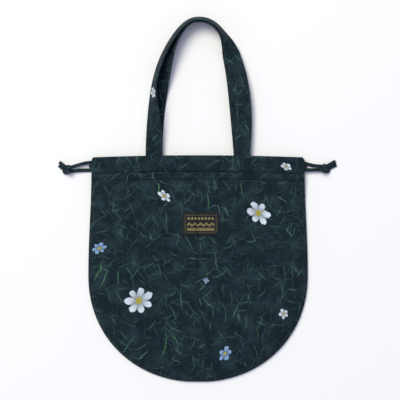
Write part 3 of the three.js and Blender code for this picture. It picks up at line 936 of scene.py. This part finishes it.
def tape(name, points, width, thickness, material, offset, step=CORD_STEP):
    """A flat tape along the points, its width kept near Y."""
    line, along = evened(points, step)
    ways = ways_along(line)
    wide = np.array([0.0, 1.0, 0.0]) - ways * ways[:, 1:2]
    wide /= np.linalg.norm(wide, axis=1, keepdims=True)
    section = tape_section(width, thickness)
    rings = rings_along(line, wide, np.cross(ways, wide), section)
    return swept_piece(name, rings, girth_of(*section), along, material, offset), line, along[-1]


def overhand(name, cord, material):
    """The doubled cord tied in an overhand knot, with its two loose ends."""
    side = cord["side"]
    turn = np.linspace(-KNOT_SPAN, KNOT_SPAN, 110)
    line = np.stack([
        -side * KNOT_LENGTH * (turn ** 3 - 3 * turn),
        KNOT_WIDTH * (turn ** 4 - 4 * turn ** 2) + KNOT_LIFT,
        KNOT_HEIGHT * (turn ** 5 - 10 * turn),
    ], axis=-1) + standing(cord, cord["knot"])
    ways = ways_along(line)
    around = np.linspace(0, 2 * math.pi, 18, endpoint=False)
    waist = 1 - 0.32 * np.exp(-(np.cos(around) / 0.3) ** 2)
    across, up = KNOT_HALF_WIDE * np.cos(around), KNOT_HALF_THICK * np.sin(around) * waist
    wide = np.cross(ways[0], (0.0, 0.0, 1.0))
    rings = []
    for spot, way in zip(line, ways):
        wide = wide - way * np.dot(wide, way)
        wide /= np.linalg.norm(wide)
        rings.append(spot + np.outer(across, wide) + np.outer(up, np.cross(way, wide)))
    girth = np.linspace(0, 0.012, len(around) + 1)
    pieces = [swept_piece(name, np.array(rings), girth, run_along(line), material, (0.4, 0.1 * side))]
    for i, tail in enumerate(cord["tails"]):
        spots = [standing(cord, s) for s in tail]
        end, _, _ = tape(
            f"{name}_end_{i}", spots, CORD_WIDTH, TAIL_THICKNESS, material, (0.2, 0.3 * i), TAIL_STEP)
        pieces.append(end)
    return join(name, pieces)


class POUCH_OT_drawcords(bpy.types.Operator):
    """Run both drawcords through the casings and tie a knot in each"""

    bl_idname = "pouch.drawcords"
    bl_label = "Drawcords"

    def execute(self, context):
        material = made_once("cord cotton", printed_cotton, (0.07, 0.02))
        for word, cord in (("left", LEFT_CORD), ("right", RIGHT_CORD)):
            offset = (0.1, cord["side"] * 0.2)
            piece, line, length = tape(
                f"{word}_cord", cord_route(cord), CORD_WIDTH, CORD_THICKNESS, material, offset)
            knot = overhand(f"{word}_tied_knot", cord, material)
            finish_piece(piece, "cord_cotton", f"{word}_drawcord")
            finish_piece(knot, "cord_cotton", f"{word}_knot")
        return {"FINISHED"}


def hem_face(depth):
    """Height of the hem's outer face: a full casing, drawn down along both stitch lines."""
    past = -depth
    height = CASING_HEIGHT - HEM_STEP * smooth(past, CASING_DEPTH - STEP_BEFORE, CASING_DEPTH + STEP_AFTER)
    for line in (CASING_DEPTH, HEM_DEPTH):
        height = height - HEM_DIP * np.exp(-((past - line) / DIP_WIDTH) ** 2)
    return height + CASING_FULLNESS * np.sin(math.pi * np.clip((CASING_DEPTH - past) / CASING_DEPTH, 0, 1))


def hem_profile():
    """From the lower stitch line over the top fold and down inside: depth below the top edge, and height."""
    depth = np.linspace(-HEM_DEPTH, -CASING_HEIGHT / 2, HEM_ROWS)
    turn = np.linspace(math.pi / 2, -math.pi / 2, FOLD_ROWS + 2)[1:-1]
    fold_u = -CASING_HEIGHT / 2 + CASING_HEIGHT / 2 * np.cos(turn)
    fold_v = CASING_HEIGHT / 2 + CASING_HEIGHT / 2 * np.sin(turn)
    inner_u = np.linspace(-CASING_HEIGHT / 2, -HEM_DEPTH, INNER_ROWS)
    meet = np.maximum(0.0, hem_face(inner_u) - 2 * CLOTH - SEAM_GAP)
    inner_v = meet * smooth(-inner_u, CASING_DEPTH - INNER_RISE, CASING_DEPTH + INNER_RISE)
    return np.concatenate([depth, fold_u, inner_u]), np.concatenate([hem_face(depth), fold_v, inner_v])


def panel_plan():
    """A panel seen from above, in rows from the foot: x and y, and the depth and height of its hem's rows."""
    across = np.sin(np.linspace(-1, 1, COLUMNS + 1) * math.pi / 2 * EDGE_CROWDING)
    across /= math.sin(math.pi / 2 * EDGE_CROWDING)
    bowl = WIDE_Y - BOWL_DEPTH * np.cos(np.linspace(0, math.pi / 2, BOWL_ROWS))
    side = np.linspace(WIDE_Y, HEM_Y, SIDE_ROWS + 1)[1:-1]
    level = np.concatenate([bowl, side])[:, None]
    depth, height = hem_profile()
    body_x = half_width(level) * across[None, :]
    hem_x = half_width(TOP_Y + np.maximum(depth, -HEM_DEPTH))[:, None] * across[None, :]
    hem_x *= (1 - CORNER_EASE * smooth(depth, -CORNER_RUN, 0.0) ** 2)[:, None]
    body_y = level - (TOP_Y - top_edge(body_x)) * smooth(level, HEM_Y - ARCH_RUN, HEM_Y)
    hem_y = top_edge(hem_x) + depth[:, None]
    return np.concatenate([body_x, hem_x]), np.concatenate([body_y, hem_y]), depth[:, None], height[:, None]


def panel_grid(is_front, sizes):
    """Points and UVs of one panel: the body, its hem, the fold at the top and the turned-in layer."""
    x, y, depth, height = panel_plan()
    z = np.empty_like(x)
    body, hem = slice(0, BODY_ROWS), slice(BODY_ROWS, None)
    if is_front:
        z[body] = front_level(x[body], y[body], sizes)
        gather = puckers(x[hem], GATHER_PITCH, 1.7, 0.07, 22)
        gather *= 0.5 + 0.5 * waves(x[hem], y[hem], 0.045, 23)
        in_casing = np.sin(math.pi * np.clip((depth + CASING_DEPTH) / CASING_DEPTH, 0, 1))
        in_hem = np.sin(math.pi * np.clip((depth + HEM_DEPTH) / (HEM_DEPTH - CASING_DEPTH), 0, 1))
        lift = sizes.pucker * gather * (0.5 * in_casing + 0.35 * in_hem)
        last = z[body][-1] - (casing_base(x[body][-1]) + height[0])
        z[hem] = casing_base(x[hem]) + height + lift
        z[hem] += last * smooth(-depth, HEM_DEPTH - JOIN_RUN, HEM_DEPTH) * (height > FACE_LEVEL)
    else:
        away = seam_distance(x[body], y[body])
        z[body] = SEAM_LEVEL - SEAM_GAP - edge_roll(away) * (SEAM_LEVEL - SEAM_GAP) / EDGE_ROLL
        z[body] *= 1 - smooth(y[body], HEM_Y - BACK_FLAT_RUN, HEM_Y)
        z[hem] = np.maximum(CASING_HEIGHT - height, 0.0)
    middle = COLUMNS // 2
    run = run_along(np.stack([y[:, middle], z[:, middle]], axis=-1))
    u = x if is_front else x + BACK_PANEL_U
    uvs = np.stack([u, np.broadcast_to(run[:, None], x.shape)], axis=-1)
    return np.stack([x, y, z], axis=-1), uvs


def settled(points):
    """How the front's cloth, cut a little full, sinks onto what it covers, held at its seam and hem."""
    start = points[::2, ::2]
    rows, columns = start.shape[:2]
    scrap = bpy.data.materials.new("scrap")
    flat_uvs = np.zeros((rows, columns, 2))
    under = start.copy()
    under[1:-1, 1:-1, 2] -= UNDER_DROP
    body = grid_piece("under", under, flat_uvs, scrap)
    body.modifiers.new("Collision", "COLLISION")
    body.collision.thickness_outer = 0.0004
    body.collision.cloth_friction = 30.0
    cloth = grid_piece("draping", start, flat_uvs, scrap)
    held = cloth.vertex_groups.new(name="sewn")
    at = np.arange(rows * columns).reshape(rows, columns)
    rim = np.concatenate([at[0], at[-1], at[1:-1, 0], at[1:-1, -1]])
    held.add([int(i) for i in rim], 1.0, "REPLACE")
    drape = cloth.modifiers.new("Cloth", "CLOTH")
    setting = drape.settings
    setting.quality = 5
    setting.mass = 0.2
    setting.tension_stiffness = 20.0
    setting.compression_stiffness = 20.0
    setting.shear_stiffness = 8.0
    setting.bending_stiffness = 0.25
    setting.air_damping = 4.0
    setting.shrink_min = -DRAPE_EASE
    setting.vertex_group_mass = held.name
    drape.collision_settings.distance_min = 0.0006
    drape.collision_settings.collision_quality = 2
    drape.collision_settings.use_self_collision = False
    drape.point_cache.frame_start = 1
    drape.point_cache.frame_end = DRAPE_FRAMES
    scene = bpy.context.scene
    for step in range(1, DRAPE_FRAMES + 1):
        scene.frame_set(step)
    done = cloth.evaluated_get(bpy.context.evaluated_depsgraph_get()).to_mesh()
    moved = np.empty(rows * columns * 3)
    done.vertices.foreach_get("co", moved)
    scene.frame_set(1)
    discard(cloth)
    discard(body)
    bpy.data.materials.remove(scrap)
    drift = moved.reshape(rows, columns, 3) - start
    size = np.linalg.norm(drift, axis=-1, keepdims=True)
    return drift * np.minimum(1.0, DRAPE_LIMIT / np.maximum(size, 1e-9))


def spread_out(coarse, rows, columns):
    """A field on every second point of a grid, filled in between."""
    at_row = np.linspace(0, coarse.shape[0] - 1, rows)
    at_column = np.linspace(0, coarse.shape[1] - 1, columns)
    j = np.minimum(at_row.astype(int), coarse.shape[0] - 2)
    i = np.minimum(at_column.astype(int), coarse.shape[1] - 2)
    v, u = (at_row - j)[:, None, None], (at_column - i)[None, :, None]
    low = coarse[j][:, i] * (1 - u) + coarse[j][:, i + 1] * u
    high = coarse[j + 1][:, i] * (1 - u) + coarse[j + 1][:, i + 1] * u
    return low * (1 - v) + high * v


def draped(body):
    """The front's body as it settles, calm under the label and still along the seam."""
    drift = spread_out(settled(body), *body.shape[:2])
    past = np.abs(body[..., :2] - (LABEL_X, LABEL_Y)) - (LABEL_WIDTH / 2, LABEL_HEIGHT / 2)
    free = LABEL_CALM + (1 - LABEL_CALM) * smooth(np.max(past, axis=-1), 0.0, LABEL_CALM_RUN)
    free *= smooth(seam_distance(body[..., 0], body[..., 1]), 0.0, SEAM_HOLD)
    return body + drift * free[..., None]


class POUCH_OT_panels(bpy.types.Operator):
    """Cut, hem and seam the back and front panels"""

    bl_idname = "pouch.panels"
    bl_label = "Panels"

    def execute(self, context):
        for word, under in (("back", "floor"), ("front", "back_cloth")):
            is_front = word == "front"
            points, uvs = panel_grid(is_front, context.scene.pouch_sizes)
            if is_front:
                points[:BODY_ROWS] = draped(points[:BODY_ROWS])
            piece = grid_piece(f"{word}_cloth", points, uvs, cloth_material(), turned=not is_front)
            thicken(piece, CLOTH)
            finish_piece(piece, "printed_cotton", f"{word}_panel")
        return {"FINISHED"}


def leg_swing(up):
    """Share of a leg's sway at a share of the loop's rise."""
    return np.sin(math.pi * np.minimum(1.0, up / SWAY_END))


def leg_lean(word, side, up):
    """How far a strap leans at a share of the loop's rise, with its outer edge down."""
    leg = LEGS[word, side]
    return HANDLE_TWIST * smooth(up, *leg["turns"]) + leg["tilt"] * leg_swing(up)


def loop_stations(word):
    """The way along a handle from its left end: places, outward ways, leans, the lesser leans and arches."""
    strap_reach = STRAP_WIDTH / 2 * math.cos(HANDLE_TWIST) + STRAP_THICKNESS / 2 * math.sin(HANDLE_TWIST)
    rise = HANDLE_RISE - strap_reach - STRAP_PITCH * math.sin(HANDLE_TWIST)
    half = STRAP_SPREAD / 2
    drop = np.linspace(STRAP_TAIL, 0, TAIL_STEPS, endpoint=False)
    legs = []
    for side in (-1, 1):
        leg, bow = LEGS[word, side], LOOP_BOW[side]
        turn = np.linspace(0, math.pi / 2, LOOP_STEPS // 2 + 1)
        across = np.cos(turn) ** (2 / bow)
        across[-1] = 0.0
        up = np.sin(turn) ** (2 / bow)
        out = np.stack([side * rise * across ** (bow - 1), half * up ** (bow - 1)], axis=-1)
        out /= np.linalg.norm(out, axis=1, keepdims=True)
        swing = leg_swing(up)
        lean = leg_lean(word, side, up)
        rest = np.minimum(leg_lean("front", side, up), leg_lean("back", side, up))
        slide = -side * STRAP_WIDTH / 2 * (np.cos(rest) - np.cos(lean))
        spot = np.stack([side * (half * across + leg["sway"] * swing), TOP_Y + rise * up], axis=-1)
        spot += out * slide[:, None]
        tail = np.stack([np.full(TAIL_STEPS, side * half), TOP_Y - drop], axis=-1)
        flat = np.zeros(TAIL_STEPS)
        fields = [np.concatenate([tail, spot]), np.concatenate([[(side, 0.0)] * TAIL_STEPS, out]),
                  np.concatenate([flat, lean]), np.concatenate([flat, rest]),
                  np.concatenate([flat, leg["arch"] * swing])]
        legs.append([field[slice(None) if side < 0 else slice(-2, None, -1)] for field in fields])
    return [np.concatenate(pair) for pair in zip(*legs)]


def strap_section():
    """A folded strap: round edges, flattened along its two rows of stitches."""
    half, thick = STRAP_WIDTH / 2, STRAP_THICKNESS / 2
    wide = half * np.sin(np.linspace(-1, 1, 25) * math.pi / 2)
    edge = np.sqrt(1 - np.clip((np.abs(wide) - (half - STRAP_EDGE)) / STRAP_EDGE, 0, 1) ** 2)
    dip = 1 - STRAP_SEAM_DIP * np.exp(-((np.abs(wide) - (half - STRAP_SEAM)) / STRAP_SEAM_WIDTH) ** 2)
    up = thick * edge * dip
    return np.concatenate([wide, wide[-2:0:-1]]), np.concatenate([-up, up[-2:0:-1]])


def strap_frames(word):
    """Middle, across and outward-facing ways of a strap at each station."""
    spots, outs, lean, rest, arch = loop_stations(word)
    is_front = word == "front"
    half_wide, half_thick = STRAP_WIDTH / 2, STRAP_THICKNESS / 2
    pitch = STRAP_PITCH if is_front else 0.0
    sin, cos = np.sin(lean), np.cos(lean)
    under_hem = casing_base(STRAP_SPREAD / 2 + half_wide) - FIT - half_thick
    mouth_level = under_hem if is_front else CASING_HEIGHT + FIT + half_thick
    held = (mouth_level - half_thick - pitch) * (1 - smooth(spots[:, 1], TOP_Y, TOP_Y + LEG_DROP_RUN))
    flat = np.concatenate([outs, np.zeros((len(outs), 1))], axis=1)
    up = np.array([0.0, 0.0, 1.0])
    height = half_wide * sin + half_thick * cos + pitch * np.cos(rest) + held + arch
    middle = np.concatenate([spots, height[:, None]], axis=1) + flat * (np.sin(rest) * pitch)[:, None]
    across = flat * cos[:, None] - up * sin[:, None]
    face = flat * sin[:, None] + up * cos[:, None]
    return middle, across, face


class POUCH_OT_handles(bpy.types.Operator):
    """Fold, stitch and lay both handles"""

    bl_idname = "pouch.handles"
    bl_label = "Handles"

    def execute(self, context):
        section = strap_section()
        girth = girth_of(*section)
        row = STRAP_WIDTH / 2 - STRAP_SEAM
        level = STRAP_THICKNESS / 2 * STITCH_LEVEL
        for word in ("back", "front"):
            middle, across, face = strap_frames(word)
            rings = rings_along(middle, across, face, section)
            offset = (STRAP_U[word], 0.0)
            piece = swept_piece(f"{word}_strap", rings, girth, run_along(middle), cloth_material(), offset)
            finish_piece(piece, "printed_cotton", f"{word}_handle")
            lines = []
            for side in (-1, 1):
                for way in (-1, 1):
                    spots = middle + across * side * row + face * way * level
                    lines.append(list(zip(spots, face * way)))
            stitches = sewn(f"{word}_strap_stitches", lines, seam_thread(), context.scene.pouch_sizes)
            finish_piece(stitches, "printed_cotton")
        return {"FINISHED"}


def label_grid(surface):
    """Points and UVs of the label, its corners rounded, on the surface it is sewn to."""
    v = np.linspace(-1, 1, LABEL_ROWS + 1) * LABEL_HEIGHT / 2
    past = np.maximum(0.0, np.abs(v) - (LABEL_HEIGHT / 2 - LABEL_CORNER))
    half = LABEL_WIDTH / 2 - LABEL_CORNER + np.sqrt(np.maximum(0.0, LABEL_CORNER ** 2 - past ** 2))
    u = half[:, None] * np.linspace(-1, 1, LABEL_COLUMNS + 1)[None, :]
    uvs = np.stack([u, np.broadcast_to(v[:, None], u.shape)], axis=-1)
    line = line_on(surface, uvs.reshape(-1, 2) + (LABEL_X, LABEL_Y))
    places = np.array([place for place, _ in line]).reshape(*u.shape, 3)
    return places + (0.0, 0.0, FIT + LABEL_THICKNESS), uvs


def label_ring(inset):
    """A ring that far inside the label's edge, round its corners."""
    turn = np.linspace(0, 2 * math.pi, 240)
    straight = np.array([LABEL_WIDTH, LABEL_HEIGHT]) / 2 - LABEL_CORNER
    ring = np.stack([np.cos(turn), np.sin(turn)], axis=-1)
    ring /= np.max(np.abs(ring) * (1.0, LABEL_WIDTH / LABEL_HEIGHT), axis=1, keepdims=True)
    ring *= LABEL_WIDTH / 2
    core = np.clip(ring, -straight, straight)
    past = ring - core
    length = np.maximum(np.linalg.norm(past, axis=1, keepdims=True), 1e-9)
    return core + past / length * (LABEL_CORNER - inset) + (LABEL_X, LABEL_Y)


class POUCH_OT_label(bpy.types.Operator):
    """Lay the woven label on the front and sew it down"""

    bl_idname = "pouch.label"
    bl_label = "Label"

    def execute(self, context):
        colours, sizes = context.scene.pouch_colours, context.scene.pouch_sizes
        weave = made_once("label weave", label_weave, colours.patch, colours.gold)
        points, uvs = label_grid(surface_of(bpy.data.objects["front_cloth"]))
        patch = grid_piece("label_patch", points, uvs, weave)
        thicken(patch, LABEL_THICKNESS)
        finish_piece(patch, "label_cloth", "label")
        thread = made_once("label thread", thread_material, colours.edging)
        line = line_on(surface_of(patch), label_ring(LABEL_SEAM))
        stitches = sewn("label_stitches", [line], thread, sizes)
        finish_piece(stitches, "label_cloth")
        return {"FINISHED"}


def edge_line(inset):
    """A line that far inside the outline, from the left end of the hem round the foot to the right."""
    side_y = np.linspace(HEM_Y - 0.004, WIDE_Y, 60, endpoint=False)
    side = np.stack([half_width(side_y) - inset, side_y], axis=-1)
    turn = np.linspace(math.pi / 2, 0, 90)
    share = 1 - inset / (BODY_WIDTH / 2)
    power = 2 / BOWL_FULLNESS
    curve = np.stack([BODY_WIDTH / 2 * share * np.sin(turn) ** power,
                      WIDE_Y - BOWL_CURVE * share * np.cos(turn) ** power], axis=-1)
    curve[:, 1] = np.maximum(curve[:, 1], FOOT_Y + inset)
    right = np.concatenate([side, curve])
    return np.concatenate([right * (-1, 1), right[-2::-1]])


class POUCH_OT_stitching(bpy.types.Operator):
    """Sew the hem lines, the slits at the ends of the hems and the line along the front's edge"""

    bl_idname = "pouch.stitching"
    bl_label = "Stitching"

    def execute(self, context):
        for word in ("back", "front"):
            is_front = word == "front"
            surface = surface_of(bpy.data.objects[f"{word}_cloth"])
            lines = []
            x = np.linspace(-0.5, 0.5, 160) * (MOUTH_WIDTH - HEM_SEAM_MARGIN)
            for depth in (CASING_DEPTH, HEM_DEPTH):
                lines.append(line_on(surface, np.stack([x, top_edge(x) - depth], axis=-1), is_front))
            y = np.linspace(TOP_Y - HEM_DEPTH + 0.001, TOP_Y - CASING_DEPTH + 0.006, 12)
            for side in (-1, 1):
                spots = np.stack([np.full(len(y), side * SLIT_X), y], axis=-1)
                lines.append(line_on(surface, spots, is_front))
            if is_front:
                lines.append(line_on(surface, edge_line(EDGE_SEAM)))
            stitches = sewn(f"{word}_hem_stitches", lines, seam_thread(), context.scene.pouch_sizes)
            finish_piece(stitches, "printed_cotton")
        return {"FINISHED"}


class POUCH_PT_panel(bpy.types.Panel):
    """The pouch's pieces, sizes and colours"""

    bl_idname = "POUCH_PT_panel"
    bl_label = "Drawstring Pouch"
    bl_space_type = "VIEW_3D"
    bl_region_type = "UI"
    bl_category = "Pouch"

    def draw(self, context):
        for step in STEPS:
            self.layout.operator(step.bl_idname)
        for settings in (context.scene.pouch_sizes, context.scene.pouch_colours):
            box = self.layout.box()
            for name in settings.__annotations__:
                box.prop(settings, name)


STEPS = (
    POUCH_OT_stage,
    POUCH_OT_drawcords,
    POUCH_OT_panels,
    POUCH_OT_handles,
    POUCH_OT_label,
    POUCH_OT_stitching,
)
CLASSES = (PouchSizes, PouchColours, *STEPS, POUCH_PT_panel)


def register():
    for kind in CLASSES:
        bpy.utils.register_class(kind)
    bpy.types.Scene.pouch_sizes = bpy.props.PointerProperty(type=PouchSizes)
    bpy.types.Scene.pouch_colours = bpy.props.PointerProperty(type=PouchColours)


def unregister():
    del bpy.types.Scene.pouch_colours
    del bpy.types.Scene.pouch_sizes
    for kind in reversed(CLASSES):
        bpy.utils.unregister_class(kind)


def main():
    register()
    bpy.ops.pouch.stage()
    bpy.ops.pouch.drawcords()
    bpy.ops.pouch.panels()
    bpy.ops.pouch.handles()
    bpy.ops.pouch.label()
    bpy.ops.pouch.stitching()


if __name__ == "__main__":
    main()
